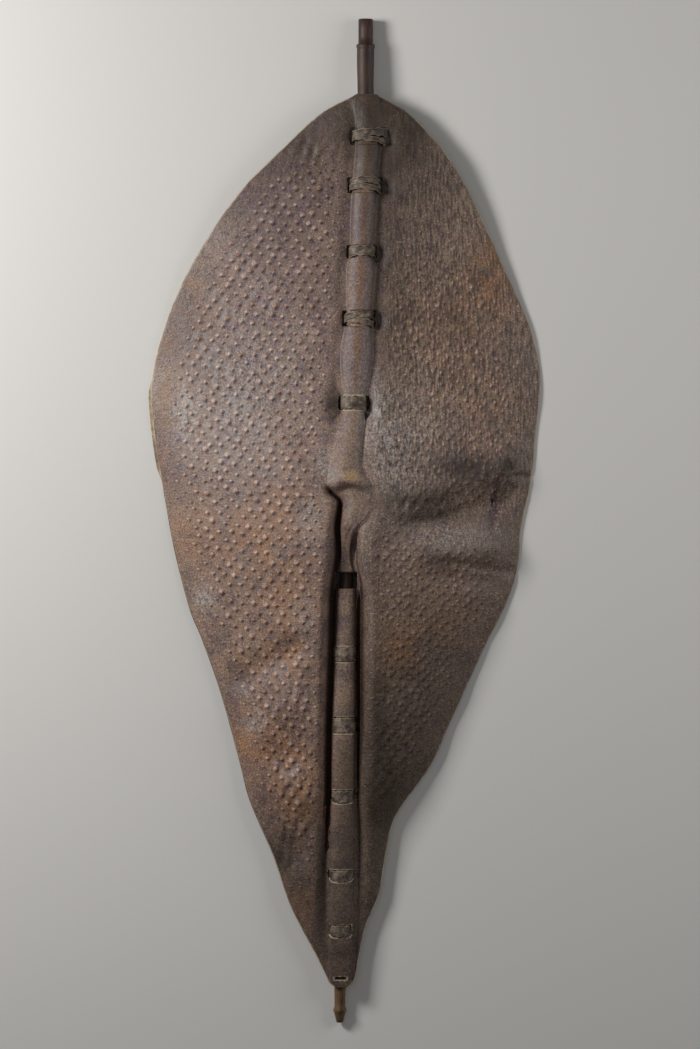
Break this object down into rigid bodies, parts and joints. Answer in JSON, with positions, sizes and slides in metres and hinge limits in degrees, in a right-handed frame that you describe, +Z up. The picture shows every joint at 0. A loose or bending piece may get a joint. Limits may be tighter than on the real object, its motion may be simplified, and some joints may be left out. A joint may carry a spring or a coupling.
{
  "type": "hide shield",
  "caption": "Leaf-shaped shield of one moulded rawhide sheet tied over a long wooden stick, with a raised nose over the hand grip at its back.",
  "frame": {"origin": "middle of the underside of the box round the whole shield, which lies on its hollow back", "axes": "+Y along the stick towards the rounded top, +X across the sheet, +Z up out of its face"},
  "size_m": [0.4062, 1.052, 0.0641],
  "materials": {
    "hide": "smoked rawhide, pimpled, dull with glossy worn tips",
    "stick": "peeled stick darkened by handling, satin",
    "lashing": "rawhide strip with pale cut edges, dull"
  },
  "bodies": {
    "root": {"hide": "hide", "stick": "stick", "lashing_01": "lashing", "lashing_02": "lashing", "lashing_03": "lashing", "lashing_04": "lashing", "lashing_05": "lashing", "lashing_06": "lashing", "lashing_07": "lashing", "lashing_08": "lashing", "lashing_09": "lashing", "lashing_10": "lashing"}
  },
  "joints": []
}
